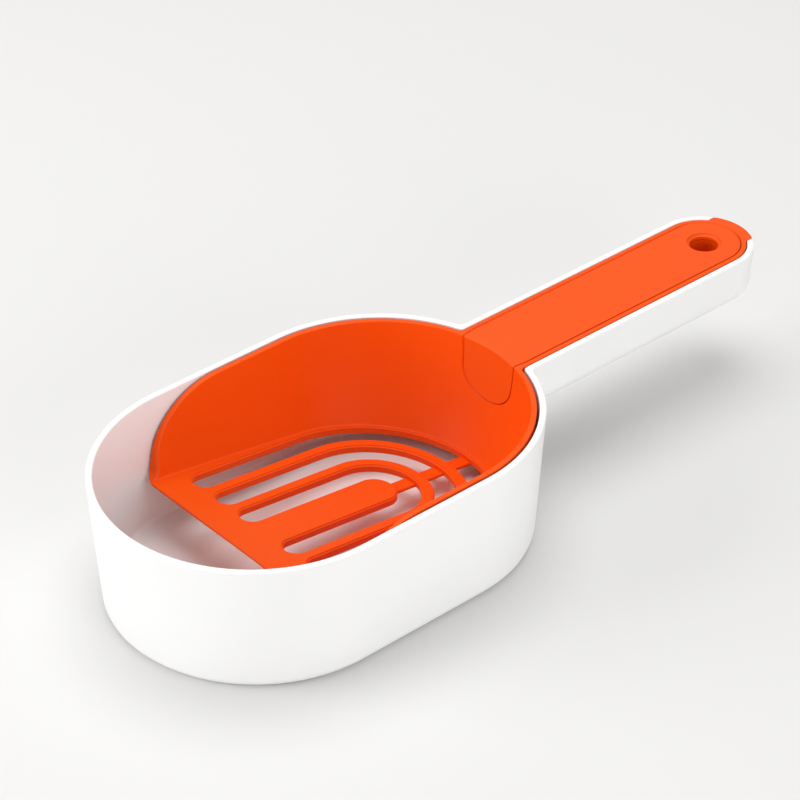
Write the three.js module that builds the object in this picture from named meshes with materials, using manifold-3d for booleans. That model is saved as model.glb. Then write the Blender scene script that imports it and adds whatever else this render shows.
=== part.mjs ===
// A slotted sifting scoop with a hollow handle and a cover, lying in its open tray.
// Millimetres, +Z up. The origin is under the middle of the tray, on the surface it stands on.
// Shapes are drawn about the centre of the tray's round front end, at rim height: x runs back to the
// handle's end, and a depth is measured down from the rim. The meshes are then placed at that point.

import * as THREE from 'three';
import { mergeVertices } from 'three/addons/utils/BufferGeometryUtils.js';
import Module from 'manifold-3d';

const wasm = await Module();
wasm.setup();

// Tray
const trayHeight = 55.1;
const trayRadius = 62.6;
const trayWall = 2.6;
const trayDraft = 0.062;
const trayFillet = 3.6;
const basinStraight = 58.5;
const handleReach = 231;
const channelRadius = 20.2;
const channelDepth = 22.8;
const channelDraft = 0.043;
const channelFillet = 9.5;
const notchHalfWidth = 10.8;

// Scoop basin
const fitGap = 0.3;
const splitGap = 0.3;
const rimGap = 1;
const scoopWall = 2.2;
const scoopOuterDraft = 0.065;
const bowlCurve = 86;
const plateThickness = 3.4;
const lipThickness = 1.2;
const lipTaper = 12;
const plateDepth = 31.2;
const plateSlope = 0.1235;
const lipX = -11.8;
const lipCornerRadius = 10;
const mouthEndX = 27.5;
const mouthLength = 35;
const mouthFoot = 3;
const mouthFootRise = 1.3;

// Slots and rib in the plate
const slotWidth = 9.4;
const slotPitch = 14.2;
const islandHalfWidth = 8.2;
const slotCount = 3;
const slotBendX = 56.4;
const slotFrontX = 1.7;
const ribHalfWidth = 3;
const ribDrop = 2.2;

// Handle, cover and tab
const handleGap = 0.5;
const handleWall = 2.2;
const handleFillet = 7;
const coverRadius = 14.7;
const coverThickness = 2.4;
const holeRadius = 5.9;
const bossRadius = 8.1;
const tabThickness = 3;
const supportRibCount = 3;
const supportRibThickness = 2;
const tongueHalfWidth = 14.1;
const tongueTaper = 0.06;
const tongueStraight = 11.5;
const tongueLength = 22.4;
const tongueThickness = 1.8;

// Worked out from the above
const overallLength = trayRadius + handleReach + channelRadius;
const frontX = trayRadius - overallLength / 2;
const channelStartX = basinStraight + trayRadius / 2;
const innerRadius = trayRadius - trayWall;
const scoopRadius = innerRadius - rimGap;
const bowlRadius = scoopRadius - scoopWall;
const channelInside = channelRadius - trayWall;
const handleRadius = channelInside - handleGap;
const handleDepth = channelDepth - trayWall - fitGap;
const pocketDepth = handleDepth - handleWall;
const supportDepth = coverThickness + fitGap;
const farX = handleReach + 2 * channelRadius;
const overshoot = 1;
const bendSegments = 10;
const endSegments = 14;
const roundSegments = 32;
const farDepth = trayHeight;
const farY = trayRadius + overshoot;

const plateTopAt = (x) => plateDepth + plateSlope * x;

// Solids and meshes

function toSolid(geometry) {
  const bare = geometry.clone();
  bare.deleteAttribute('normal');
  bare.deleteAttribute('uv');
  const merged = mergeVertices(bare, 1e-4);
  const vertProperties = Float32Array.from(merged.attributes.position.array);
  const triVerts = Uint32Array.from(merged.index.array);
  return new wasm.Manifold(new wasm.Mesh({ numProp: 3, vertProperties, triVerts }));
}

function toMesh(solid, name, color, roughness) {
  const { vertProperties, triVerts } = solid.getMesh();
  const geometry = new THREE.BufferGeometry();
  geometry.setAttribute('position', new THREE.BufferAttribute(vertProperties, 3));
  geometry.setIndex(new THREE.BufferAttribute(triVerts, 1));
  geometry.computeVertexNormals();
  const mesh = new THREE.Mesh(geometry, new THREE.MeshStandardMaterial({ color, roughness, metalness: 0 }));
  mesh.name = name;
  mesh.position.set(frontX, 0, trayHeight);
  return mesh;
}

// An outline in plan, between two depths.
function planSolid(shape, topDepth, bottomDepth) {
  const depth = bottomDepth - topDepth;
  const settings = { depth, bevelEnabled: false, curveSegments: bendSegments };
  const geometry = new THREE.ExtrudeGeometry(shape, settings);
  geometry.translate(0, 0, -bottomDepth);
  return toSolid(geometry);
}

// An outline in side view, as [x, depth] points, reaching the same way to both sides.
function sideSolid(points, halfWidth) {
  const shape = new THREE.Shape(points.map(([x, depth]) => new THREE.Vector2(x, -depth)));
  const geometry = new THREE.ExtrudeGeometry(shape, { depth: 2 * halfWidth, bevelEnabled: false });
  geometry.rotateX(Math.PI / 2);
  geometry.translate(0, halfWidth, 0);
  return toSolid(geometry);
}

// An outline in end view, as [y, depth] points, between two places along x.
function endSolid(points, startX, endX) {
  const shape = new THREE.Shape(points.map(([y, depth]) => new THREE.Vector2(y, -depth)));
  const geometry = new THREE.ExtrudeGeometry(shape, { depth: endX - startX, bevelEnabled: false });
  const sideways = new THREE.Vector3(0, 1, 0);
  const up = new THREE.Vector3(0, 0, 1);
  const along = new THREE.Vector3(1, 0, 0);
  geometry.applyMatrix4(new THREE.Matrix4().makeBasis(sideways, up, along));
  geometry.translate(startX, 0, 0);
  return toSolid(geometry);
}

function box(startX, endX, halfWidth, topDepth, bottomDepth) {
  const geometry = new THREE.BoxGeometry(endX - startX, 2 * halfWidth, bottomDepth - topDepth);
  geometry.translate((startX + endX) / 2, 0, -(topDepth + bottomDepth) / 2);
  return toSolid(geometry);
}

// Wall profiles, from the bottom up: how far the wall leans in at each depth. The last level stands
// above the rim by rise, for a hollow that is cut out of a solid.

function arcSteps(count) {
  return Array.from({ length: count + 1 }, (_, step) => (step / count) * (Math.PI / 2));
}

function draftedWall(depth, draft, fillet, rise = 0) {
  const lean = draft * (depth - fillet);
  const angles = fillet > 0 ? arcSteps(5) : [Math.PI / 2];
  const levels = angles.map((angle) => ({
    depth: depth - fillet * (1 - Math.cos(angle)),
    inset: lean + fillet * (1 - Math.sin(angle)),
  }));
  levels.push({ depth: -rise, inset: -draft * rise });
  return levels;
}

function bowlWall(depth, rise) {
  const steps = 8;
  const levels = Array.from({ length: steps + 1 }, (_, step) => {
    const levelDepth = depth * (1 - step / steps);
    return { depth: levelDepth, inset: bowlCurve - Math.sqrt(bowlCurve ** 2 - levelDepth ** 2) };
  });
  levels.push({ depth: -rise, inset: 0 });
  return levels;
}

// A solid with two straight sides and two round ends, whose walls follow the levels of a profile.
function oblongSolid(startX, endX, radius, levels) {
  const shape = new THREE.Shape();
  shape.moveTo(startX, -radius);
  shape.lineTo(endX, -radius);
  shape.absarc(endX, 0, radius, -Math.PI / 2, Math.PI / 2, false);
  shape.lineTo(startX, radius);
  shape.absarc(startX, 0, radius, Math.PI / 2, 1.5 * Math.PI, false);
  const geometry = new THREE.ExtrudeGeometry(shape, {
    depth: levels.length - 1,
    steps: levels.length - 1,
    bevelEnabled: false,
    curveSegments: endSegments,
  });
  const positions = geometry.attributes.position;
  for (let index = 0; index < positions.count; index += 1) {
    const { depth, inset } = levels[Math.round(positions.getZ(index))];
    const x = positions.getX(index);
    const spineX = Math.min(Math.max(x, startX), endX);
    const shrink = (radius - inset) / radius;
    positions.setXYZ(index, spineX + (x - spineX) * shrink, positions.getY(index) * shrink, -depth);
  }
  return toSolid(geometry);
}

// Tray: an outside and a hollow, each an oblong basin joined to an oblong channel.

function trayShell(radius, channel, inset, rise) {
  const basin = oblongSolid(
    0,
    basinStraight,
    radius,
    draftedWall(trayHeight - inset, trayDraft, trayFillet - inset, rise),
  );
  const arm = oblongSolid(
    channelStartX,
    handleReach,
    channel,
    draftedWall(channelDepth - inset, channelDraft, channelFillet - inset, rise),
  );
  return basin.add(arm);
}

function makeTray() {
  const notch = box(handleReach, farX, notchHalfWidth, -overshoot, tabThickness + fitGap);
  return trayShell(trayRadius, channelRadius, 0, 0)
    .subtract(trayShell(innerRadius, channelInside, trayWall, overshoot))
    .subtract(notch);
}

// Scoop

// The side view of the scoop's mouth: from the rim down a quarter oval, a small foot, the lip, and back
// along the underside of the plate.
function mouthOutline() {
  const ovalDepth = plateTopAt(lipX + mouthFoot + mouthFootRise);
  const oval = arcSteps(10)
    .slice(0, -1)
    .map((angle) => [mouthEndX - mouthLength * Math.sin(angle), ovalDepth * (1 - Math.cos(angle))]);
  const footX = mouthEndX - mouthLength - mouthFoot;
  const footDepth = plateTopAt(footX) - mouthFoot;
  const foot = arcSteps(4).map((angle) => [
    footX + mouthFoot * Math.cos(angle),
    footDepth + mouthFoot * Math.sin(angle),
  ]);
  return [
    [farX, -overshoot],
    [mouthEndX, -overshoot],
    ...oval.filter(([, depth]) => depth < footDepth),
    ...foot,
    [lipX, plateTopAt(lipX)],
    [lipX, plateTopAt(lipX) + lipThickness],
    [lipX + lipTaper, plateTopAt(lipX + lipTaper) + plateThickness],
    [farX, plateTopAt(farX) + plateThickness],
  ];
}

function lipPlan() {
  const cornerX = lipX + lipCornerRadius;
  const cornerY = scoopRadius - lipCornerRadius - fitGap;
  const shape = new THREE.Shape();
  shape.moveTo(farX, -farY);
  shape.lineTo(cornerX, -farY);
  shape.lineTo(cornerX, -cornerY - lipCornerRadius);
  shape.absarc(cornerX, -cornerY, lipCornerRadius, 1.5 * Math.PI, Math.PI, true);
  shape.lineTo(lipX, cornerY);
  shape.absarc(cornerX, cornerY, lipCornerRadius, Math.PI, Math.PI / 2, true);
  shape.lineTo(cornerX, farY);
  shape.lineTo(farX, farY);
  return shape;
}

function slotPlan(innerBend) {
  const outerBend = innerBend + slotWidth;
  const capRadius = slotWidth / 2;
  const capX = slotFrontX + capRadius;
  const capY = innerBend + capRadius;
  const shape = new THREE.Shape();
  shape.moveTo(capX, -outerBend);
  shape.lineTo(slotBendX, -outerBend);
  shape.absarc(slotBendX, 0, outerBend, -Math.PI / 2, Math.PI / 2, false);
  shape.lineTo(capX, outerBend);
  shape.absarc(capX, capY, capRadius, Math.PI / 2, 1.5 * Math.PI, false);
  shape.lineTo(slotBendX, innerBend);
  shape.absarc(slotBendX, 0, innerBend, Math.PI / 2, -Math.PI / 2, true);
  shape.lineTo(capX, -innerBend);
  shape.absarc(capX, -capY, capRadius, Math.PI / 2, 1.5 * Math.PI, false);
  return shape;
}

function middleRib() {
  const startX = slotBendX + islandHalfWidth - overshoot;
  const endX = slotBendX + islandHalfWidth + (slotCount - 1) * slotPitch + slotWidth + overshoot;
  const outline = [
    [startX, plateTopAt(startX) + ribDrop],
    [endX, plateTopAt(endX) + ribDrop],
    [endX, plateTopAt(endX) + plateThickness],
    [startX, plateTopAt(startX) + plateThickness],
  ];
  return sideSolid(outline, ribHalfWidth);
}

// The scoop's basin as a solid block, cut to the mouth's side view and the lip's plan.
function basinSolid() {
  const levels = draftedWall(farDepth - trayWall, scoopOuterDraft, 0);
  return oblongSolid(-trayRadius, basinStraight, scoopRadius, levels)
    .intersect(sideSolid(mouthOutline(), farY))
    .intersect(planSolid(lipPlan(), -overshoot, farDepth));
}

function cylinder(x, radius, topDepth, bottomDepth) {
  const geometry = new THREE.CylinderGeometry(radius, radius, bottomDepth - topDepth, roundSegments);
  geometry.rotateX(Math.PI / 2);
  geometry.translate(x, 0, -(topDepth + bottomDepth) / 2);
  return toSolid(geometry);
}

// The seat that the cover lies in, open at the top.
function coverSeat() {
  const levels = draftedWall(supportDepth, 0, 0, overshoot);
  return oblongSolid(channelStartX, handleReach, coverRadius + fitGap, levels);
}

// The hollow handle: floor and walls, cross ribs and a tube round the hanging hole under the cover.
function hollowHandle() {
  const outsideLevels = draftedWall(handleDepth, channelDraft, handleFillet);
  const outside = oblongSolid(channelStartX, handleReach, handleRadius, outsideLevels);
  const pocketLevels = draftedWall(pocketDepth, channelDraft, handleFillet - handleWall, overshoot);
  const pocket = oblongSolid(channelStartX, handleReach, coverRadius + fitGap, pocketLevels);
  let shell = outside.subtract(pocket);
  const ribStartX = basinStraight + trayRadius;
  const ribPitch = (handleReach - ribStartX) / (supportRibCount + 1);
  for (let number = 1; number <= supportRibCount; number += 1) {
    const ribX = ribStartX + number * ribPitch;
    const rib = box(ribX, ribX + supportRibThickness, handleRadius, supportDepth, handleDepth);
    shell = shell.add(rib.intersect(outside));
  }
  return shell.add(cylinder(handleReach, bossRadius, supportDepth, handleDepth - overshoot));
}

// The tab on the handle's end that fills the tray's notch, flush with the tray's outside.
function endTab() {
  const tab = box(handleReach, farX, notchHalfWidth - fitGap, 0, tabThickness);
  const flushRadius = channelRadius - fitGap;
  const flush = oblongSolid(handleReach, handleReach + fitGap, flushRadius, draftedWall(tabThickness, 0, 0));
  const inside = cylinder(handleReach, handleRadius - handleWall / 2, -overshoot, farDepth);
  return tab.intersect(flush).subtract(inside);
}

// The tongue's outline in end view, grown by a margin: straight sides and a round bottom.
function tongueOutline(margin) {
  const footWidth = tongueHalfWidth - tongueTaper * tongueStraight + margin;
  const roundDepth = tongueLength - tongueStraight + margin;
  const bottom = arcSteps(8).map((angle) => [
    footWidth * Math.cos(angle),
    tongueStraight + roundDepth * Math.sin(angle),
  ]);
  const side = [[tongueHalfWidth + margin, -margin], ...bottom];
  const otherSide = side
    .slice(0, -1)
    .reverse()
    .map(([y, depth]) => [-y, depth]);
  return [...side, ...otherSide];
}

// What lies inside the bowl's surface set back by a thickness, over the tongue's outline.
function tongueSolid(thickness, margin) {
  const levels = bowlWall(farDepth, margin);
  const setBack = oblongSolid(-trayRadius, basinStraight, bowlRadius + thickness, levels);
  return setBack.intersect(endSolid(tongueOutline(margin), basinStraight, farX));
}

// The scoop is one moulding. It is kept as three solids with a hairline gap between them, its walls, its
// slotted plate and its handle, so that each is simple enough to collide as it looks.

function makeScoopWalls() {
  const bowl = oblongSolid(-trayRadius, basinStraight, bowlRadius, bowlWall(farDepth, overshoot));
  const tongueOpening = endSolid(tongueOutline(fitGap), basinStraight, farX);
  return basinSolid()
    .subtract(bowl)
    .subtract(coverSeat())
    .subtract(tongueOpening.intersect(box(basinStraight, farX, farY, -overshoot, pocketDepth)))
    .subtract(tongueSolid(tongueThickness + fitGap, fitGap));
}

function makeSiftingPlate() {
  const sideView = [
    [-trayRadius, plateTopAt(-trayRadius)],
    [farX, plateTopAt(farX)],
    [farX, plateTopAt(farX) + plateThickness],
    [lipX + lipTaper, plateTopAt(lipX + lipTaper) + plateThickness],
    [lipX, plateTopAt(lipX) + lipThickness],
    [-trayRadius, plateTopAt(-trayRadius) + lipThickness],
  ];
  let plate = sideSolid(sideView, farY);
  for (let number = 0; number < slotCount; number += 1) {
    plate = plate.subtract(planSolid(slotPlan(islandHalfWidth + number * slotPitch), 0, farDepth));
  }
  const bowlLevels = bowlWall(farDepth, overshoot);
  return plate
    .add(middleRib())
    .intersect(oblongSolid(-trayRadius, basinStraight, bowlRadius - splitGap, bowlLevels))
    .intersect(planSolid(lipPlan(), -overshoot, farDepth));
}

function makeHandleShell() {
  const basinLevels = draftedWall(farDepth, scoopOuterDraft, 0, overshoot);
  const aroundBasin = oblongSolid(-trayRadius, basinStraight, scoopRadius + splitGap, basinLevels);
  return hollowHandle()
    .add(endTab())
    .subtract(aroundBasin)
    .subtract(coverSeat())
    .subtract(cylinder(handleReach, holeRadius, -overshoot, farDepth));
}

function makeHandleCover() {
  const plate = oblongSolid(channelStartX, handleReach, coverRadius, draftedWall(coverThickness, 0, 0));
  const bowl = oblongSolid(-trayRadius, basinStraight, bowlRadius, bowlWall(farDepth, overshoot));
  const bore = cylinder(handleReach, holeRadius, -overshoot, farDepth);
  return plate.add(tongueSolid(tongueThickness, 0)).subtract(bowl).subtract(bore);
}

const object = new THREE.Group();
object.add(toMesh(makeTray(), 'tray', 0xf7f7f5, 0.45));
object.add(toMesh(makeScoopWalls(), 'scoop_walls', 0xfa4e10, 0.5));
object.add(toMesh(makeSiftingPlate(), 'sifting_plate', 0xfa4e10, 0.5));
object.add(toMesh(makeHandleShell(), 'handle_shell', 0xfa4e10, 0.5));
object.add(toMesh(makeHandleCover(), 'handle_cover', 0xf95b24, 0.5));

export default object;
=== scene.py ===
# A slotted sifting scoop with a covered handle, lying in its open white tray.
# Shapes are drawn in millimetres about the centre of the tray's round front end, at rim height:
# x runs back to the handle's end, y to the side, and a depth is measured down from the rim.

import math

import bmesh
import bpy
from mathutils import Matrix, Vector


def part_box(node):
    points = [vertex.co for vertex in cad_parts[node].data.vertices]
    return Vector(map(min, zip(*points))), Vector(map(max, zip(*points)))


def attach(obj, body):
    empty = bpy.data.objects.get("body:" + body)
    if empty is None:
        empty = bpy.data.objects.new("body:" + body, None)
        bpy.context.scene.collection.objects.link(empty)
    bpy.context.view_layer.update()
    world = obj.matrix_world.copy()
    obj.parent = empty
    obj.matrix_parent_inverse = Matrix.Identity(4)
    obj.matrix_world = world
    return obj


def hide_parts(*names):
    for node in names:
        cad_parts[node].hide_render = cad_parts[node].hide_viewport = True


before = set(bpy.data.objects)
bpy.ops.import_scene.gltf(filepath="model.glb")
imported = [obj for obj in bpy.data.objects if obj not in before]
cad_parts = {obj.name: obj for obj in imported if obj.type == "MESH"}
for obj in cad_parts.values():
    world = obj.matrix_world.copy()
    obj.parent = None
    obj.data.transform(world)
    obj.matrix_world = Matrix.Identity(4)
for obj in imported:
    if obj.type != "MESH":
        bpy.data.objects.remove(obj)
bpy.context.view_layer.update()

MM = 0.001

# ---------------------------------------------------------------- driving sizes, from the frame


def extent(node, axis):
    low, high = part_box(node)
    return (high[axis] - low[axis]) / MM


def low_of(node, axis):
    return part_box(node)[0][axis] / MM


def high_of(node, axis):
    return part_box(node)[1][axis] / MM


RIM_HEIGHT = high_of("tray", 2)
TRAY_RADIUS = extent("tray", 1) / 2
FRONT_X = low_of("tray", 0) + TRAY_RADIUS
SCOOP_RADIUS = extent("scoop_walls", 1) / 2
LIP_X = low_of("sifting_plate", 0) - FRONT_X
PLATE_DEPTH = RIM_HEIGHT - high_of("sifting_plate", 2)
HANDLE_RADIUS = extent("handle_shell", 1) / 2
HANDLE_DEPTH = extent("handle_shell", 2)
COVER_RADIUS = extent("handle_cover", 1) / 2
TONGUE_LENGTH = extent("handle_cover", 2)
HANDLE_REACH = high_of("handle_cover", 0) - FRONT_X - COVER_RADIUS
CHANNEL_RADIUS = high_of("tray", 0) - FRONT_X - HANDLE_REACH

# Clearances
FIT_GAP = 0.3  # between pieces that fit together
HAIR = 0.02  # keeps a cutter's loops off the surface that it cuts
CUTTER_OVERSHOOT = 2.0  # how far a cutter stands clear of what it cuts

# Tray
TRAY_WALL = 2.6
TRAY_DRAFT = 0.062
TRAY_FILLET = 3.6
TRAY_INNER_FILLET = 1.6
BASIN_STRAIGHT = 58.5
CHANNEL_FLOOR = HANDLE_DEPTH + TRAY_WALL + FIT_GAP
CHANNEL_DRAFT = 0.043
CHANNEL_FILLET = 9.5
TRAY_FLARE = 3.6
TRAY_INNER_FLARE = 2.0
NOTCH_HALF_WIDTH = 10.8
NOTCH_DEPTH = 3.3
NOTCH_START = 8.0  # back from the centre of the channel's round end
RIM_ROUND = 0.5

# Scoop
SCOOP_WALL = 2.2
SCOOP_DRAFT = 0.065
BOWL_RADIUS = SCOOP_RADIUS - SCOOP_WALL
BOWL_CURVE = 86.0
PLATE_SLOPE = 0.1235
PLATE_THICKNESS = 3.4
LIP_THICKNESS = 1.2
LIP_TAPER = 12.0
PLATE_FILLET = 0.6
LIP_CORNER = 10.0
OUTER_FILLET = 6.4
MOUTH_END_X = 27.5
MOUTH_LENGTH = 35.0
MOUTH_FOOT = 3.0
MOUTH_FOOT_RISE = 1.3
MOUTH_LEAD = 8.0  # how far behind the mouth's end its last section leaves the spine
LIP_ROUND = 0.5
MOUTH_EDGE_ROUND = 1.2
SCOOP_RIM_ROUND = 0.45
SPINE_DEPTH = PLATE_DEPTH - PLATE_SLOPE * LIP_X

# Slots
SLOT_WIDTH = 9.4
SLOT_PITCH = 14.2
ISLAND_HALF_WIDTH = 8.2
SLOT_COUNT = 3
SLOT_BEND_X = 56.4
SLOT_FRONT_X = 1.7
SLOT_ROUND = 0.6
RIB_HALF_WIDTH = 3.0
RIB_DROP = 2.2
RIB_BASE = 9.0  # below the plate's top, where the cutter is already past the plate
RIB_OVERLAP = 3.0

# Handle and cover
HANDLE_FILLET = 7.0
HANDLE_FLARE = 2.2
FLARE_BITE = 0.05  # how far the handle's root sinks into the basin's wall
HANDLE_DRAFT = 0.043
COVER_THICKNESS = 2.4
COVER_GAP = FIT_GAP
COVER_ROUND = 0.35
CREASE_ROUND = 0.9
SEAT_OVERSHOOT = 1.5
TONGUE_HALF_WIDTH = 14.1
TONGUE_TAPER = 0.06
TONGUE_STRAIGHT = 11.5
TONGUE_THICKNESS = 1.8
TONGUE_NECK = 6.0  # how far behind the crease the cover starts to narrow to the tongue
HOLE_RADIUS = 5.9
HOLE_ROUND = 1.1
TAB_DEPTH = 3.0
TAB_HALF_WIDTH = NOTCH_HALF_WIDTH - COVER_GAP
TAB_ROOT = 1.2  # how far the tab reaches into the handle

# Meshes
WELD = 0.004
SLIVER = 0.002
SHARP_DEGREES = 32
NORMAL_WEIGHT = 80
FILLET_STEPS = 9
EDGE_STEPS = 5


# ---------------------------------------------------------------- small geometry helpers


def place(x, y, depth):
    return Vector(((FRONT_X + x) * MM, y * MM, (RIM_HEIGHT - depth) * MM))


def spread(start, end, count):
    return [start + (end - start) * step / count for step in range(count + 1)]


def mirrored(half):
    """A closed loop from a half outline that starts and ends on the middle line."""
    return half + [(x, -y) for x, y in half[-2:0:-1]]


class Faces:
    """Collects faces by their corners and welds them into one mesh."""

    def __init__(self):
        self.items = []

    def add(self, *corners):
        self.items.append(corners)

    def band(self, first, second):
        count = len(first)
        for index in range(count):
            after = (index + 1) % count
            self.add(first[index], first[after], second[after], second[index])

    def grid(self, lines):
        for line, other in zip(lines, lines[1:]):
            for index in range(len(line) - 1):
                self.add(line[index], line[index + 1], other[index + 1], other[index])

    def mesh(self, name):
        work = bmesh.new()
        for corners in self.items:
            work.faces.new([work.verts.new(corner) for corner in corners])
        bmesh.ops.remove_doubles(work, verts=work.verts, dist=WELD * MM)
        bmesh.ops.dissolve_degenerate(work, dist=SLIVER * MM, edges=work.edges)
        bmesh.ops.recalc_face_normals(work, faces=work.faces)
        mesh = bpy.data.meshes.new(name)
        work.to_mesh(mesh)
        work.free()
        return mesh


def new_object(name, mesh):
    made = bpy.data.objects.new(name, mesh)
    bpy.context.scene.collection.objects.link(made)
    return made


def apply_modifiers(piece):
    depsgraph = bpy.context.evaluated_depsgraph_get()
    result = bpy.data.meshes.new_from_object(piece.evaluated_get(depsgraph))
    piece.modifiers.clear()
    piece.data = result


def combine(piece, mesh, operation):
    """Joins a closed mesh to a piece, or cuts it out."""
    other = new_object("cutter", mesh)
    modifier = piece.modifiers.new("cut", "BOOLEAN")
    modifier.operation = operation
    modifier.solver = "EXACT"
    modifier.object = other
    apply_modifiers(piece)
    bpy.data.objects.remove(other)


def smooth(piece):
    mesh = piece.data
    mesh.shade_smooth()
    mesh.set_sharp_from_angle(angle=math.radians(SHARP_DEGREES))
    weighted = piece.modifiers.new("weighted_normals", "WEIGHTED_NORMAL")
    weighted.keep_sharp = True
    weighted.weight = NORMAL_WEIGHT


def finish_piece(piece, body, material, nodes):
    """Gives a piece its material and smooth shading, attaches it to its body, and hides the nodes
    that it stands for.
    """
    piece.data.materials.clear()
    piece.data.materials.append(material)
    smooth(piece)
    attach(piece, body)
    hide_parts(*nodes)


# ---------------------------------------------------------------- outlines


def on_arc(centre_x, centre_y, radius, angle):
    return centre_x + radius * math.cos(angle), centre_y + radius * math.sin(angle)


def arc(centre_x, centre_y, radius, start, end, steps):
    return [on_arc(centre_x, centre_y, radius, angle) for angle in spread(start, end, steps)]


def flare_centre(radius, channel, flare):
    """Where the round corner between the basin's back and the channel's side is centred."""
    y = channel + flare
    return math.sqrt((radius + flare) ** 2 - y**2), y


def tip_arc(reach, radius, steps=14):
    """A quarter turn from the side to the middle line."""
    points = arc(reach, 0, radius, math.pi / 2, 0, steps)
    points[-1] = (points[-1][0], 0.0)
    return points


def flare_arc(radius, channel, flare):
    """From where the flare leaves the basin's back to where it meets the channel's side."""
    offset, centre_y = flare_centre(radius, channel, flare)
    leave = math.atan2(centre_y, offset) + math.pi
    return arc(BASIN_STRAIGHT + offset, centre_y, flare, leave, 1.5 * math.pi, 8)


def keyhole_basin(radius, channel, flare):
    """Half of the basin's outline, from the front middle to where the flare leaves it."""
    offset, centre_y = flare_centre(radius, channel, flare)
    split = math.atan2(centre_y, offset)
    points = arc(0, 0, radius, math.pi, math.pi / 2, 36)
    points += [(x, radius) for x in spread(0, BASIN_STRAIGHT, 12)[1:]]
    points += arc(BASIN_STRAIGHT, 0, radius, math.pi / 2, split, 28)[1:]
    points[0] = (-radius, 0.0)
    return points


def keyhole_channel(radius, channel, flare):
    """Half of the channel's outline, on from where the flare leaves the basin."""
    corner = flare_arc(radius, channel, flare)
    side = [(x, channel) for x in spread(corner[-1][0], HANDLE_REACH, 16)[1:]]
    return corner[1:] + side + tip_arc(HANDLE_REACH, channel)[1:]


def back_arc(split_point, radius):
    """The rest of the basin's back, from the split to the middle."""
    split = math.atan2(split_point[1], split_point[0] - BASIN_STRAIGHT)
    points = arc(BASIN_STRAIGHT, 0, radius, split, 0, 12)[1:]
    points[-1] = (points[-1][0], 0.0)
    return points


# ---------------------------------------------------------------- tray


def fillet_levels(floor, draft, fillet, steps):
    """Depths and insets down a round corner into a floor."""
    lean = draft * (floor - fillet)
    levels = []
    for angle in spread(0, math.pi / 2, steps):
        depth = floor - fillet * (1 - math.sin(angle))
        levels.append((depth, lean + fillet * (1 - math.cos(angle))))
    return levels


def channel_inset(depth, floor, fillet):
    """How far the channel's side has drawn in at a depth, down its draft and into its floor."""
    start = floor - fillet
    if depth <= start:
        return CHANNEL_DRAFT * depth
    rise = min(1.0, (depth - start) / fillet)
    return CHANNEL_DRAFT * start + fillet * (1 - math.sqrt(max(0.0, 1 - rise**2)))


def tray_skin(faces, radius, channel, flare, floor, channel_floor, fillet, channel_fillet):
    """One side of the tray, from just under the rim down. Returns the ring at the top."""
    start = channel_floor - channel_fillet
    channel_depths = spread(RIM_ROUND, start, 3)
    for angle in spread(0, math.pi / 2, FILLET_STEPS)[1:]:
        channel_depths.append(start + channel_fillet * math.sin(angle))
    rings = []
    for depth in channel_depths:
        level_radius = radius - TRAY_DRAFT * depth
        level_channel = channel - channel_inset(depth, channel_floor, channel_fillet)
        basin = keyhole_basin(level_radius, level_channel, flare)
        arm = keyhole_channel(level_radius, level_channel, flare)
        rings.append((depth, basin, arm))
    loops = [[place(x, y, depth) for x, y in mirrored(basin + arm)] for depth, basin, arm in rings]
    for first, second in zip(loops, loops[1:]):
        faces.band(first, second)
    # The channel's floor is one face, which ends at the round back of the basin below it.
    depth, basin, arm = rings[-1]
    rest = back_arc(basin[-1], radius - TRAY_DRAFT * depth)
    edge = [basin[-1]] + arm
    ledge = edge + [(x, -y) for x, y in edge[-2::-1] + rest] + rest[-2::-1]
    faces.add(*[place(x, y, depth) for x, y in ledge])
    floor_channel = channel - channel_inset(depth, channel_floor, channel_fillet)
    below = [(depth, basin + rest)]
    levels = [(d, TRAY_DRAFT * d) for d in spread(channel_floor, floor - fillet, 4)[1:-1]]
    levels += fillet_levels(floor, TRAY_DRAFT, fillet, 6)
    for level_depth, inset in levels:
        part = keyhole_basin(radius - inset, floor_channel, flare)
        below.append((level_depth, part + back_arc(part[-1], radius - inset)))
    lower = [[place(x, y, level) for x, y in mirrored(half)] for level, half in below]
    for first, second in zip(lower, lower[1:]):
        faces.band(first, second)
    bottom, last = below[-1]
    for (x1, y1), (x2, y2) in zip(last, last[1:]):
        corners = [(x1, y1), (x2, y2), (x2, -y2), (x1, -y1)]
        faces.add(*[place(x, y, bottom) for x, y in corners])
    return loops[0]


def rim_rings(radius, channel, flare, wall, inner_flare):
    """The rounded top of the wall, from the outside over to the inside."""
    rings = []
    for angle in spread(0, math.pi / 2, EDGE_STEPS):
        drop = RIM_ROUND * (1 - math.sin(angle))
        inset = RIM_ROUND * (1 - math.cos(angle)) + TRAY_DRAFT * RIM_ROUND * math.cos(angle)
        rings.append((drop, inset))
    over = [(drop, wall - inset) for drop, inset in reversed(rings)]
    loops = []
    for drop, inset in rings + over:
        level_flare = flare + (inner_flare - flare) * inset / wall
        half = keyhole_basin(radius - inset, channel - inset, level_flare)
        half += keyhole_channel(radius - inset, channel - inset, level_flare)
        loops.append([place(x, y, drop) for x, y in mirrored(half)])
    return loops


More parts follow.
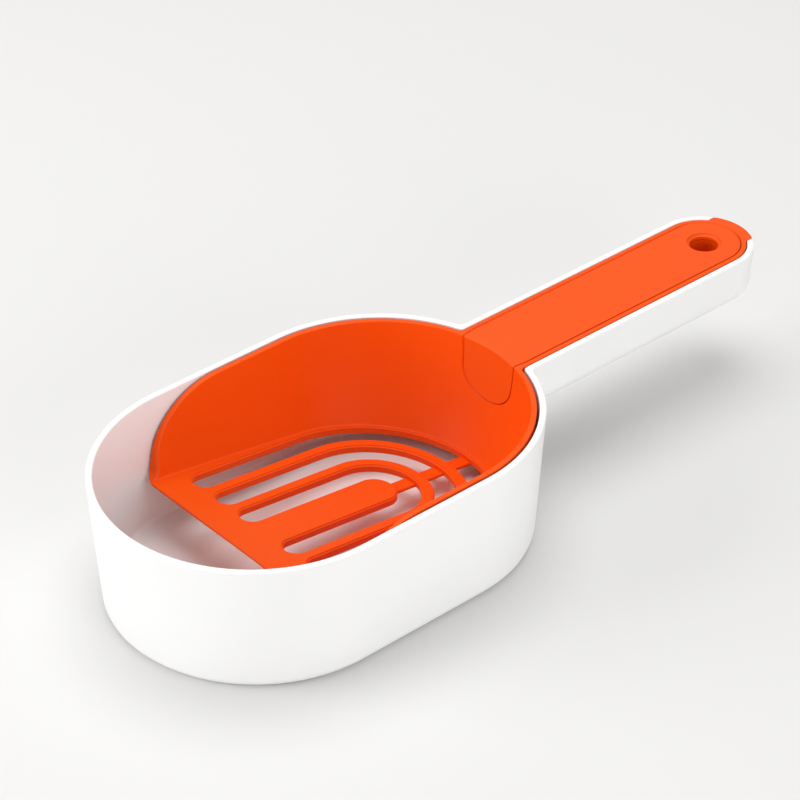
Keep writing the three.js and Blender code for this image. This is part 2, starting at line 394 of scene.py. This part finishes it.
def make_tray():
    faces = Faces()
    outer = tray_skin(
        faces,
        TRAY_RADIUS,
        CHANNEL_RADIUS,
        TRAY_FLARE,
        RIM_HEIGHT,
        CHANNEL_FLOOR,
        TRAY_FILLET,
        CHANNEL_FILLET,
    )
    inner = tray_skin(
        faces,
        TRAY_RADIUS - TRAY_WALL,
        CHANNEL_RADIUS - TRAY_WALL,
        TRAY_INNER_FLARE,
        RIM_HEIGHT - TRAY_WALL,
        CHANNEL_FLOOR - TRAY_WALL,
        TRAY_INNER_FILLET,
        CHANNEL_FILLET - TRAY_WALL,
    )
    rim = rim_rings(TRAY_RADIUS, CHANNEL_RADIUS, TRAY_FLARE, TRAY_WALL, TRAY_INNER_FLARE)
    rim[0] = outer
    rim[-1] = inner
    for first, second in zip(rim, rim[1:]):
        faces.band(first, second)
    tray = new_object("tray_moulding", faces.mesh("tray_moulding"))
    combine(tray, notch_mesh(), "DIFFERENCE")
    return tray


def notch_mesh():
    """The straight-sided notch in the channel's end wall."""
    start_x = HANDLE_REACH + NOTCH_START
    end_x = HANDLE_REACH + 2 * CHANNEL_RADIUS
    side = NOTCH_HALF_WIDTH
    outline = [(start_x, -side), (end_x, -side), (end_x, side), (start_x, side)]
    upper = [place(x, y, -CUTTER_OVERSHOOT) for x, y in outline]
    lower = [place(x, y, NOTCH_DEPTH) for x, y in outline]
    faces = Faces()
    faces.band(upper, lower)
    faces.add(*upper)
    faces.add(*lower)
    return faces.mesh("notch")


# ---------------------------------------------------------------- scoop basin

RIM_Q = 3.0  # where the rim lies along a section; see surface_point
EDGE_FADE = 5  # how quickly a shift of an edge dies out behind it
CAP_SHARE = 0.45  # the most of a rim's width that one rounded corner takes


def plate_at(x):
    """How deep the plate's top lies."""
    return SPINE_DEPTH + PLATE_SLOPE * x


def bowl_at(depth):
    """The radius of the scoop's inside at a depth."""
    return BOWL_RADIUS - (BOWL_CURVE - math.sqrt(BOWL_CURVE**2 - depth**2))


def outside_at(depth):
    """The radius of the scoop's outside at a depth."""
    return SCOOP_RADIUS - SCOOP_DRAFT * depth


def across(key, reach):
    """Where a section's point stands in plan. A section is at an x, or turns about the back."""
    x, angle = key
    if angle is None:
        return x, reach
    return on_arc(BASIN_STRAIGHT, 0, reach, angle)


def flat_plate(x):
    return 0.0


def plate_thickness(x):
    """The plate thins towards its lip."""
    share = min(1.0, max(0.0, (x - LIP_X) / LIP_TAPER))
    return LIP_THICKNESS + (PLATE_THICKNESS - LIP_THICKNESS) * math.sin(share * math.pi / 2)


def round_corner(start, corner, end, t):
    """A quarter turn between two lines, at t from 0 to 1."""
    pull = math.sqrt(0.5) * 2 * t * (1 - t)
    total = (1 - t) ** 2 + pull + t**2
    return [(p * (1 - t) ** 2 + c * pull + e * t**2) / total for p, c, e in zip(start, corner, end)]


def surface_point(key, q, radius_at, below, fillet):
    """A point of the scoop's inside or outside: q runs 0 to 1 over the plate, 1 to 2 round its
    corner and 2 to 3 up the wall to the rim."""
    radius = radius_at(PLATE_DEPTH)
    for _ in range(10):
        x = across(key, radius)[0]
        depth = plate_at(x) + below(x)
        radius = radius_at(depth)
    flat = radius - fillet
    top_of_corner = depth - fillet
    if q <= 1:
        reach, level = q * flat, None
    elif q < 2:
        x = across(key, flat)[0]
        start = (flat, plate_at(x) + below(x))
        end = (radius_at(top_of_corner), top_of_corner)
        reach, level = round_corner(start, (radius, depth), end, q - 1)
    else:
        level = top_of_corner * (RIM_Q - q)
        reach = radius_at(level)
    x, y = across(key, reach)
    return Vector((x, y, plate_at(x) + below(x) if level is None else level))


def inside_point(key, q):
    return surface_point(key, q, bowl_at, flat_plate, PLATE_FILLET)


def outside_point(key, q):
    return surface_point(key, q, outside_at, plate_thickness, OUTER_FILLET)


def q_at_depth(point_at, x, depth):
    """How far along a section the surface comes up to a depth."""
    low, high = 1.0, RIM_Q
    for _ in range(30):
        middle = (low + high) / 2
        if point_at((x, None), middle)[2] > depth:
            low = middle
        else:
            high = middle
    return low


def lip_corner_x(y):
    """The lip's front edge in plan, at a distance out."""
    corner_y = SCOOP_RADIUS - LIP_CORNER - COVER_GAP
    reach = min(max(y - corner_y, 0.0), LIP_CORNER)
    return LIP_X + LIP_CORNER - math.sqrt(LIP_CORNER**2 - reach**2)


def eased(points, first, last):
    """The same line of (x, q) points with the bends in x between two of its stations softened."""
    for _ in range(8):
        middle = []
        for index in range(first, last):
            x = (points[index - 1][0] + 2 * points[index][0] + points[index + 1][0]) / 4
            middle.append((x, points[index][1]))
        points = points[:first] + middle + points[last:]
    return points


def mouth_stations():
    """The front edge of the basin, from the lip's end up to the rim. Each station gives where its
    line leaves the spine, the section's angle, the x and q where it ends on the inside and on the
    outside, and how far up the mouth it is from 0 to 1."""
    oval_depth = plate_at(LIP_X + MOUTH_FOOT + MOUTH_FOOT_RISE)
    foot_depth = plate_at(LIP_X + MOUTH_FOOT) - MOUTH_FOOT
    lowest = math.acos(1 - foot_depth / oval_depth)
    front_x = MOUTH_END_X - MOUTH_LENGTH * math.sin(lowest)
    foot_x = front_x - MOUTH_FOOT
    turn = foot_x - LIP_X
    flat_y = inside_point((LIP_X, None), 1.0)[1]
    inner = []
    for angle in spread(0, math.pi / 2, 3):
        y = flat_y - turn + turn * math.sin(angle)
        inner.append((LIP_X + turn * (1 - math.cos(angle)), y / flat_y))
    for angle in spread(math.pi / 2, 0, 8)[1:]:
        x, depth = on_arc(foot_x, foot_depth, MOUTH_FOOT, angle)
        inner.append((x, q_at_depth(inside_point, x, depth)))
    outer = []
    underside_q = 0.95
    for q in spread(underside_q, q_at_depth(outside_point, front_x, foot_depth), len(inner) - 1):
        y = outside_point((front_x, None), q)[1]
        outer.append((min(front_x, lip_corner_x(y)), q))
    for angle in spread(lowest, 0, 34)[1:]:
        x = MOUTH_END_X - MOUTH_LENGTH * math.sin(angle)
        depth = oval_depth * (1 - math.cos(angle))
        inner.append((x, q_at_depth(inside_point, x, depth)))
        outer.append((x, q_at_depth(outside_point, x, depth)))
    inner = eased(inner, 7, 16)
    outer = eased(outer, 6, 18)
    stations = []
    for index, ends in enumerate(zip(inner, outer)):
        share = index / (len(inner) - 1)
        spine_x = LIP_X + (MOUTH_END_X + MOUTH_LEAD - LIP_X) * share
        stations.append((spine_x, None, *ends, share))
    return stations


def basin_stations():
    """All stations of one half: up the mouth's edge, along the side and round the back."""
    stations = mouth_stations()
    start = stations[-1][0]
    for share in spread(0, 1, 8)[1:]:
        spine_x = start + (BASIN_STRAIGHT - start) * share
        rim = (MOUTH_END_X + (BASIN_STRAIGHT - MOUTH_END_X) * share, RIM_Q)
        stations.append((spine_x, None, rim, rim, 1.0))
    rim = (BASIN_STRAIGHT, RIM_Q)
    for angle in spread(math.pi / 2, 0, 48)[1:]:
        stations.append((BASIN_STRAIGHT, angle, rim, rim, 1.0))
    return stations


def station_line(point_at, spine_x, angle, edge, steps):
    """A station's points from the spine out to its edge, at steps that run from 0 to RIM_Q."""
    edge_x, edge_q = edge
    line = []
    for step in steps:
        share = step / RIM_Q
        x = spine_x + (edge_x - spine_x) * share
        line.append(point_at((x, angle), edge_q * share))
    return line


def set_back(lines, rounding):
    """Draws a surface's edge back along the surface, to leave room for a rounded rim. Returns the
    edge's sharp points and the points that it was drawn back to."""
    edge = [(0, index) for index in range(len(lines[0]))]
    edge += [(row, -1) for row in range(1, len(lines))]
    sharp = [lines[row][index].copy() for row, index in edge]
    moved = []
    for number, (row, index) in enumerate(edge):
        before = sharp[max(number - 1, 0)]
        after = sharp[min(number + 1, len(sharp) - 1)]
        tangent = (after - before).normalized()
        if row == 0:
            towards = lines[1][index] - sharp[number]
        else:
            towards = lines[row][-2] - sharp[number]
        if row == 0 and index == 0:
            tangent = Vector((0, 1, 0))
        if row == len(lines) - 1:
            tangent = Vector((0, 1, 0))
        inward = (towards - tangent * towards.dot(tangent)).normalized()
        moved.append(inward * rounding(number, len(lines[0])))
    for number, (row, index) in enumerate(edge):
        line = lines[row]
        if row == 0:
            line[index] += moved[number]
            continue
        last = len(line) - 1
        for place_in_line in range(1, last + 1):
            line[place_in_line] += moved[number] * (place_in_line / last) ** EDGE_FADE
    return sharp, [lines[row][index] for row, index in edge]


def rounded_edge(inner, inner_sharp, outer_sharp, outer):
    """A rounded rim that joins an inside point to an outside point over two sharp corners."""
    gap = outer_sharp - inner_sharp
    way = gap.normalized()
    first = min((inner - inner_sharp).length, CAP_SHARE * gap.length)
    second = min((outer - outer_sharp).length, CAP_SHARE * gap.length)
    start = inner_sharp + way * first
    end = outer_sharp - way * second
    steps = spread(0, 1, EDGE_STEPS)
    points = [Vector(round_corner(inner, inner_sharp, start, t)) for t in steps]
    points += [start.lerp(end, 1 / 3), start.lerp(end, 2 / 3)]
    return points + [Vector(round_corner(end, outer_sharp, outer, t)) for t in steps]


def section_steps(plate, corner, wall):
    """Steps along a section, with a count for each of its three parts."""
    return spread(0, 1, plate) + spread(1, 2, corner)[1:] + spread(2, RIM_Q, wall)[1:]


def make_basin():
    inner_steps = section_steps(7, 4, 16)
    outer_steps = section_steps(8, 9, 10)
    inside, outside, shares = [], [], []
    for spine_x, angle, inner_end, outer_end, share in basin_stations():
        inside.append(station_line(inside_point, spine_x, angle, inner_end, inner_steps))
        outside.append(station_line(outside_point, spine_x, angle, outer_end, outer_steps))
        shares.append(share)

    def inner_round(number, lip_count):
        """Widest part way up the mouth's edge, and fading out to the lip and to the rim."""
        row = number - lip_count + 1
        if row <= 0:
            return LIP_ROUND
        low_down = max(0.0, 1 - shares[row]) * min(1.0, row / 12)
        return SCOOP_RIM_ROUND + (MOUTH_EDGE_ROUND - SCOOP_RIM_ROUND) * min(1.0, 1.6 * low_down)

    def outer_round(number, lip_count):
        return SCOOP_RIM_ROUND

    inner_sharp, inner_edge = set_back(inside, inner_round)
    outer_sharp, outer_edge = set_back(outside, outer_round)
    caps = [rounded_edge(*ends) for ends in zip(inner_edge, inner_sharp, outer_sharp, outer_edge)]
    faces = Faces()
    for side in (1, -1):
        for surface in (inside, outside, caps):
            faces.grid([[place(x, side * y, depth) for x, y, depth in line] for line in surface])
    return new_object("scoop_moulding", faces.mesh("scoop_moulding"))


# ---------------------------------------------------------------- handle


def rounding_levels(rounding, steps=4):
    """Depths and insets round a top edge."""
    levels = []
    for angle in spread(0, math.pi / 2, steps):
        levels.append((rounding * (1 - math.cos(angle)), rounding * (1 - math.sin(angle))))
    return levels


def prism(levels, outline):
    """A closed solid from outlines at increasing depths: outline(inset) gives [(x, y)], and each
    level is (depth at a place, inset)."""
    faces = Faces()
    loops = []
    for depth_at, inset in levels:
        loops.append([place(x, y, depth_at(x, y)) for x, y in outline(inset)])
    for first, second in zip(loops, loops[1:]):
        faces.band(first, second)
    faces.add(*loops[0])
    faces.add(*loops[-1])
    return faces


def level_at(depth):
    return lambda x, y: depth


def make_arm_mesh():
    """The handle, from inside the basin's back wall to its round end."""
    inside_wall = SCOOP_WALL / 2
    start = HANDLE_DEPTH - HANDLE_FILLET
    levels = [(depth + HAIR, inset, 0.0) for depth, inset in rounding_levels(SCOOP_RIM_ROUND)]
    levels += [(depth, 0.0, 0.0) for depth in spread(SCOOP_RIM_ROUND + HAIR, start, 3)[1:]]
    for angle in spread(0, math.pi / 2, FILLET_STEPS)[1:]:
        tuck = HANDLE_FILLET * (1 - math.cos(angle))
        levels.append((start + HANDLE_FILLET * math.sin(angle), 0.0, tuck))
    loops = []
    for depth, inset, tuck in levels:
        radius = outside_at(depth) - inset - FLARE_BITE
        channel = HANDLE_RADIUS - HANDLE_DRAFT * depth - inset - tuck
        outer = keyhole_channel(radius, channel, HANDLE_FLARE)
        leave = keyhole_basin(radius, channel, HANDLE_FLARE)[-1]
        back = back_arc(leave, radius - inside_wall)
        split = math.atan2(leave[1], leave[0] - BASIN_STRAIGHT)
        corner = on_arc(BASIN_STRAIGHT, 0, radius - inside_wall, split)
        half = back[::-1] + [corner, leave] + outer
        loops.append([place(x, y, depth) for x, y in mirrored(half)])
    faces = Faces()
    for first, second in zip(loops, loops[1:]):
        faces.band(first, second)
    faces.add(*loops[0])
    faces.add(*loops[-1])
    return faces.mesh("arm")


def make_tab_mesh():
    """The tab on the handle's end, which fills the tray's notch."""
    flush = CHANNEL_RADIUS - COVER_GAP
    centre_x = HANDLE_REACH + COVER_GAP

    def outline(inset):
        half_width = TAB_HALF_WIDTH - inset
        outer = flush - inset
        root = HANDLE_RADIUS - TAB_ROOT
        points = []
        for y in spread(-half_width, half_width, 12):
            points.append((centre_x + math.sqrt(outer**2 - y**2), y))
        for y in spread(half_width, -half_width, 12):
            points.append((HANDLE_REACH + math.sqrt(root**2 - y**2), y))
        return points

    levels = [(level_at(depth), inset) for depth, inset in rounding_levels(COVER_ROUND)]
    return prism(levels + [(level_at(TAB_DEPTH), 0.0)], outline).mesh("tab")


def bore_mesh():
    """The hanging hole with its rounded mouth."""
    levels = [(level_at(-CUTTER_OVERSHOOT), 0.0), (level_at(-HAIR), 0.0)]
    for angle in spread(0, math.pi / 2, 6)[1:]:
        depth = HOLE_ROUND * math.sin(angle)
        levels.append((level_at(depth), HOLE_ROUND * (1 - math.cos(angle))))
    levels.append((level_at(2 * HANDLE_DEPTH), HOLE_ROUND))
    wide = HOLE_RADIUS + HOLE_ROUND

    def outline(inset):
        return arc(HANDLE_REACH, 0, wide - inset, 0, 2 * math.pi, 64)[:-1]

    return prism(levels, outline).mesh("bore")


# ---------------------------------------------------------------- slots


def slot_outline(number, grow):
    """One U-shaped slot in plan, grown all round."""
    inner = ISLAND_HALF_WIDTH + number * SLOT_PITCH - grow
    outer = inner + SLOT_WIDTH + 2 * grow
    cap = (outer - inner) / 2
    middle = (outer + inner) / 2
    cap_x = SLOT_FRONT_X + SLOT_WIDTH / 2
    front = spread(cap_x, SLOT_BEND_X, 8)[1:]
    half = arc(cap_x, middle, cap, math.pi, math.pi / 2, 8)
    half += [(x, outer) for x in front] + tip_arc(SLOT_BEND_X, outer, 24)[1:]
    other = arc(cap_x, middle, cap, -math.pi, -math.pi / 2, 8)[1:]
    other += [(x, inner) for x in front] + tip_arc(SLOT_BEND_X, inner, 24)[1:]
    outside = half + [(x, -y) for x, y in half[-2::-1]]
    inside = [(x, -y) for x, y in other] + other[-2::-1]
    return outside + inside


def below_plate(drop):
    return lambda x, y: plate_at(x) + drop


def slot_mesh(number):
    """What is cut out for one slot, with rounded edges above and small ones below."""
    levels = [(below_plate(-CUTTER_OVERSHOOT), SLOT_ROUND), (below_plate(-HAIR), SLOT_ROUND)]
    for angle in spread(0, math.pi / 2, 4)[1:]:
        back = SLOT_ROUND * (1 - math.cos(angle))
        levels.append((below_plate(SLOT_ROUND * math.sin(angle)), SLOT_ROUND - back))
    levels.append((below_plate(PLATE_THICKNESS - SLOT_ROUND / 2), 0.0))
    levels.append((below_plate(PLATE_THICKNESS + HAIR), SLOT_ROUND / 2))
    levels.append((below_plate(PLATE_THICKNESS + CUTTER_OVERSHOOT), SLOT_ROUND / 2))
    return prism(levels, lambda grow: slot_outline(number, grow)).mesh("slot")


def rib_mesh():
    """The low bar that ties the plate's bends together along the middle."""
    island_end = SLOT_BEND_X + ISLAND_HALF_WIDTH
    start = island_end - RIB_OVERLAP
    end = island_end + (SLOT_COUNT - 1) * SLOT_PITCH + SLOT_WIDTH + RIB_OVERLAP
    edge = SLOT_ROUND
    shoulder = RIB_DROP + edge
    section = [(-RIB_HALF_WIDTH, RIB_BASE), (-RIB_HALF_WIDTH, shoulder)]
    for angle in spread(math.pi, math.pi / 2, 4)[1:]:
        y = edge - RIB_HALF_WIDTH + edge * math.cos(angle)
        section.append((y, shoulder - edge * math.sin(angle)))
    for angle in spread(math.pi / 2, 0, 4)[1:]:
        y = RIB_HALF_WIDTH - edge + edge * math.cos(angle)
        section.append((y, shoulder - edge * math.sin(angle)))
    section += [(RIB_HALF_WIDTH, shoulder), (RIB_HALF_WIDTH, RIB_BASE)]
    faces = Faces()
    ends = [[place(x, y, plate_at(x) + drop) for y, drop in section] for x in (start, end)]
    faces.band(*ends)
    faces.add(*ends[0])
    faces.add(*ends[1])
    return faces.mesh("rib")


def cut_slots(scoop):
    """Each slot's cutter has the rib taken out of it first, so that the rib is left standing."""
    for number in range(SLOT_COUNT):
        cutter = new_object("slot_cutter", slot_mesh(number))
        combine(cutter, rib_mesh(), "DIFFERENCE")
        mesh = cutter.data
        bpy.data.objects.remove(cutter)
        combine(scoop, mesh, "DIFFERENCE")


# ---------------------------------------------------------------- handle cover


def back_x(radius, y):
    """Where a round back of this radius stands at a distance out."""
    return BASIN_STRAIGHT + math.sqrt(radius**2 - y**2)


def crease_x(y):
    """Where the cover folds over the basin's back rim."""
    return back_x(BOWL_RADIUS, y)


def cover_surface(s, y, plate_drop, tongue_drop):
    """A point on the cover: s is how far it lies back from the crease or, below zero, down."""
    edge = CREASE_ROUND
    if plate_drop > edge:
        if s > 0:
            return Vector((crease_x(y) + max(s, tongue_drop), y, plate_drop))
        depth = max(-s, plate_drop)
        return Vector((back_x(bowl_at(depth) + tongue_drop, y), y, depth))
    if s >= edge:
        return Vector((crease_x(y) + s, y, plate_drop))
    if s <= -edge:
        return Vector((back_x(bowl_at(-s) + tongue_drop, y), y, -s))
    t = (edge - s) / (2 * edge)
    start = (crease_x(y) + edge, 0.0)
    end = (back_x(bowl_at(edge), y), edge)
    x, depth = round_corner(start, (crease_x(y), 0.0), end, t)
    turn = t * math.pi / 2
    return Vector((x + tongue_drop * math.sin(turn), y, depth + plate_drop * math.cos(turn)))


def cover_outline(grow):
    """Half of the cover's outline, from its round end to the tongue's foot, as (s, y)."""
    radius = COVER_RADIUS + grow
    half = []
    for x, y in tip_arc(HANDLE_REACH, radius, 20)[::-1]:
        half.append((x - crease_x(y), y))
    neck = TONGUE_NECK
    for s in spread(HANDLE_REACH - crease_x(radius), neck, 16)[1:]:
        half.append((s, radius))
    for share in spread(0, 1, 8)[1:]:
        ease = share * share * (3 - 2 * share)
        width = radius + (TONGUE_HALF_WIDTH + grow - radius) * ease
        half.append((neck + (CREASE_ROUND - neck) * share, width))
    for s in spread(CREASE_ROUND, -CREASE_ROUND, 6)[1:]:
        half.append((s, TONGUE_HALF_WIDTH + grow + TONGUE_TAPER * min(s, 0)))
    for s in spread(-CREASE_ROUND, -TONGUE_STRAIGHT, 10)[1:]:
        half.append((s, TONGUE_HALF_WIDTH + grow + TONGUE_TAPER * s))
    foot_width = TONGUE_HALF_WIDTH - TONGUE_TAPER * TONGUE_STRAIGHT + grow
    drop = TONGUE_LENGTH - TONGUE_STRAIGHT + grow
    for angle in spread(0, math.pi / 2, 16)[1:]:
        half.append((-TONGUE_STRAIGHT - drop * math.sin(angle), foot_width * math.cos(angle)))
    half[-1] = (half[-1][0], 0.0)
    return half


def cover_mesh(levels):
    """A closed skin that follows the handle's top and the bowl's back. Each level is how far the
    outline is grown, how far it lies below the handle's top, and how far behind the bowl."""
    loops = []
    for grow, plate_drop, tongue_drop in levels:
        half = cover_outline(grow)
        loops.append([cover_surface(s, y, plate_drop, tongue_drop) for s, y in mirrored(half)])
    faces = Faces()
    for first, second in zip(loops, loops[1:]):
        faces.band([place(*p) for p in first], [place(*p) for p in second])
    for grow, plate_drop, tongue_drop in (levels[0], levels[-1]):
        rows = []
        for s, y in cover_outline(grow):
            row = []
            for share in spread(-1, 1, 12):
                row.append(place(*cover_surface(s, y * share, plate_drop, tongue_drop)))
            rows.append(row)
        faces.grid(rows)
    return faces.mesh("cover")


def make_cover():
    levels = [(-inset, depth, depth) for depth, inset in rounding_levels(COVER_ROUND)]
    levels.append((0.0, COVER_THICKNESS, TONGUE_THICKNESS))
    cover = new_object("handle_cover_panel", cover_mesh(levels))
    combine(cover, bore_mesh(), "DIFFERENCE")
    return cover


def seat_mesh():
    """What is cut out of the scoop for the cover to lie in, with a rounded edge."""
    flare = COVER_ROUND
    levels = [(COVER_GAP + flare, above, above) for above in (-SEAT_OVERSHOOT, -HAIR)]
    for angle in spread(0, math.pi / 2, 4)[1:]:
        depth = flare * math.sin(angle)
        levels.append((COVER_GAP + flare * math.cos(angle), depth, depth))
    levels.append((COVER_GAP, COVER_THICKNESS + COVER_GAP, TONGUE_THICKNESS + COVER_GAP))
    return cover_mesh(levels)


def make_scoop():
    scoop = make_basin()
    combine(scoop, make_arm_mesh(), "UNION")
    combine(scoop, make_tab_mesh(), "UNION")
    combine(scoop, seat_mesh(), "DIFFERENCE")
    combine(scoop, bore_mesh(), "DIFFERENCE")
    cut_slots(scoop)
    return scoop


# ---------------------------------------------------------------- materials

MOTTLE_SCALE = 22.0
CLOUD_SCALE = 60.0
GRAIN_SCALE = 2600.0
ROUGHNESS_SPREAD = 0.05
PLASTIC_IOR = 1.46


def noise(material, coordinates, scale, detail):
    """A noise pattern fixed to the piece, as an output to link from."""
    texture = material.node_tree.nodes.new("ShaderNodeTexNoise")
    texture.inputs["Scale"].default_value = scale
    texture.inputs["Detail"].default_value = detail
    material.node_tree.links.new(coordinates.outputs["Object"], texture.inputs["Vector"])
    return texture.outputs["Fac"]


def new_material(name):
    """A node material, and its shader."""
    material = bpy.data.materials.new(name)
    material.use_nodes = True
    return material, material.node_tree.nodes["Principled BSDF"]


def moulded_plastic(name, color, dark, roughness, gloss, glow):
    """Satin moulded plastic: faint mottling of the colour and the gloss, a fine grain, and some
    light under the surface where glow is above zero."""
    material, shader = new_material(name)
    nodes = material.node_tree.nodes
    links = material.node_tree.links
    coordinates = nodes.new("ShaderNodeTexCoord")

    tint = nodes.new("ShaderNodeValToRGB")
    low, high = tint.color_ramp.elements
    low.position = 0.3
    low.color = (*dark, 1)
    high.position = 0.7
    high.color = (*color, 1)
    links.new(noise(material, coordinates, MOTTLE_SCALE, 4.0), tint.inputs["Fac"])
    links.new(tint.outputs["Color"], shader.inputs["Base Color"])

    rough = nodes.new("ShaderNodeMapRange")
    rough.inputs["To Min"].default_value = roughness - ROUGHNESS_SPREAD
    rough.inputs["To Max"].default_value = roughness + ROUGHNESS_SPREAD
    links.new(noise(material, coordinates, CLOUD_SCALE, 5.0), rough.inputs["Value"])
    links.new(rough.outputs["Result"], shader.inputs["Roughness"])

    bump = nodes.new("ShaderNodeBump")
    bump.inputs["Strength"].default_value = 0.06
    bump.inputs["Distance"].default_value = 0.0002
    links.new(noise(material, coordinates, GRAIN_SCALE, 2.0), bump.inputs["Height"])
    links.new(bump.outputs["Normal"], shader.inputs["Normal"])

    shader.inputs["IOR"].default_value = PLASTIC_IOR
    shader.inputs["Specular IOR Level"].default_value = gloss
    shader.inputs["Subsurface Weight"].default_value = glow
    shader.inputs["Subsurface Radius"].default_value = (1.0, 0.95, 0.9)
    shader.inputs["Subsurface Scale"].default_value = 0.002
    return material


# ---------------------------------------------------------------- build

WHITE = moulded_plastic(
    "white_plastic",
    color=(0.84, 0.84, 0.838),
    dark=(0.815, 0.815, 0.812),
    roughness=0.42,
    gloss=0.35,
    glow=0.06,
)
ORANGE = moulded_plastic(
    "orange_plastic",
    color=(0.86, 0.083, 0.0),
    dark=(0.83, 0.077, 0.0),
    roughness=0.44,
    gloss=0.22,
    glow=0.0,
)
COVER = moulded_plastic(
    "orange_cover_plastic",
    color=(0.82, 0.084, 0.002),
    dark=(0.79, 0.078, 0.001),
    roughness=0.48,
    gloss=0.22,
    glow=0.0,
)

finish_piece(make_tray(), "tray", WHITE, ["tray"])
SCOOP_NODES = ["scoop_walls", "sifting_plate", "handle_shell"]
finish_piece(make_scoop(), "scoop", ORANGE, SCOOP_NODES)
finish_piece(make_cover(), "scoop", COVER, ["handle_cover"])


# ---------------------------------------------------------------- floor, light and camera

FLOOR_REACH = 6.0
FLOOR_COLOR = (0.70, 0.698, 0.69, 1)
LIGHT_TARGET = Vector((0, 0, 0.02))
CAMERA_TURN = math.radians(49.131)
CAMERA_LIFT = math.radians(35.159)
CAMERA_ROLL = math.radians(0.279)
CAMERA_DISTANCE = 1.19979
CAMERA_LENS = 144.126
CAMERA_AIM = Vector((FRONT_X + 66.755, -2.382, RIM_HEIGHT)) * MM


def make_floor():
    reach = FLOOR_REACH
    corners = [(-reach, -reach, 0), (reach, -reach, 0), (reach, reach, 0), (-reach, reach, 0)]
    mesh = bpy.data.meshes.new("floor")
    mesh.from_pydata(corners, [], [(0, 1, 2, 3)])
    material, shader = new_material("pale_floor")
    shader.inputs["Base Color"].default_value = FLOOR_COLOR
    shader.inputs["Roughness"].default_value = 0.9
    mesh.materials.append(material)
    new_object("floor", mesh)


def soft_light(name, location, size, power):
    """A round, white softbox aimed at the object."""
    data = bpy.data.lights.new(name, "AREA")
    data.shape = "DISK"
    data.size = size
    data.energy = power
    light = new_object(name, data)
    light.location = location
    aim = LIGHT_TARGET - Vector(location)
    light.rotation_euler = aim.to_track_quat("-Z", "Y").to_euler()


def make_lights():
    soft_light("left_softbox", (-1.25, 0.75, 0.60), size=1.1, power=14)
    soft_light("front_softbox", (-0.30, -1.60, 0.45), size=1.1, power=12)
    soft_light("top_softbox", (0.20, 0.25, 1.50), size=1.2, power=12)
    world = bpy.data.worlds.new("studio")
    world.use_nodes = True
    background = world.node_tree.nodes["Background"]
    background.inputs["Color"].default_value = (1.0, 0.99, 0.98, 1)
    background.inputs["Strength"].default_value = 0.55
    bpy.context.scene.world = world


def make_camera():
    """Aimed at the rim's level behind the bowl, from above the front and the near side."""
    level = math.cos(CAMERA_LIFT)
    forward = Vector(
        (level * math.cos(CAMERA_TURN), level * math.sin(CAMERA_TURN), -math.sin(CAMERA_LIFT))
    )
    data = bpy.data.cameras.new("camera")
    data.sensor_width = 36.0
    data.lens = CAMERA_LENS
    camera = new_object("camera", data)
    upright = forward.to_track_quat("-Z", "Y").to_matrix()
    rotation = upright @ Matrix.Rotation(-CAMERA_ROLL, 3, "Z")
    stand = CAMERA_AIM - forward * CAMERA_DISTANCE
    camera.matrix_world = Matrix.Translation(stand) @ rotation.to_4x4()
    bpy.context.scene.camera = camera


make_floor()
make_lights()
make_camera()
bpy.context.scene.view_settings.view_transform = "Standard"
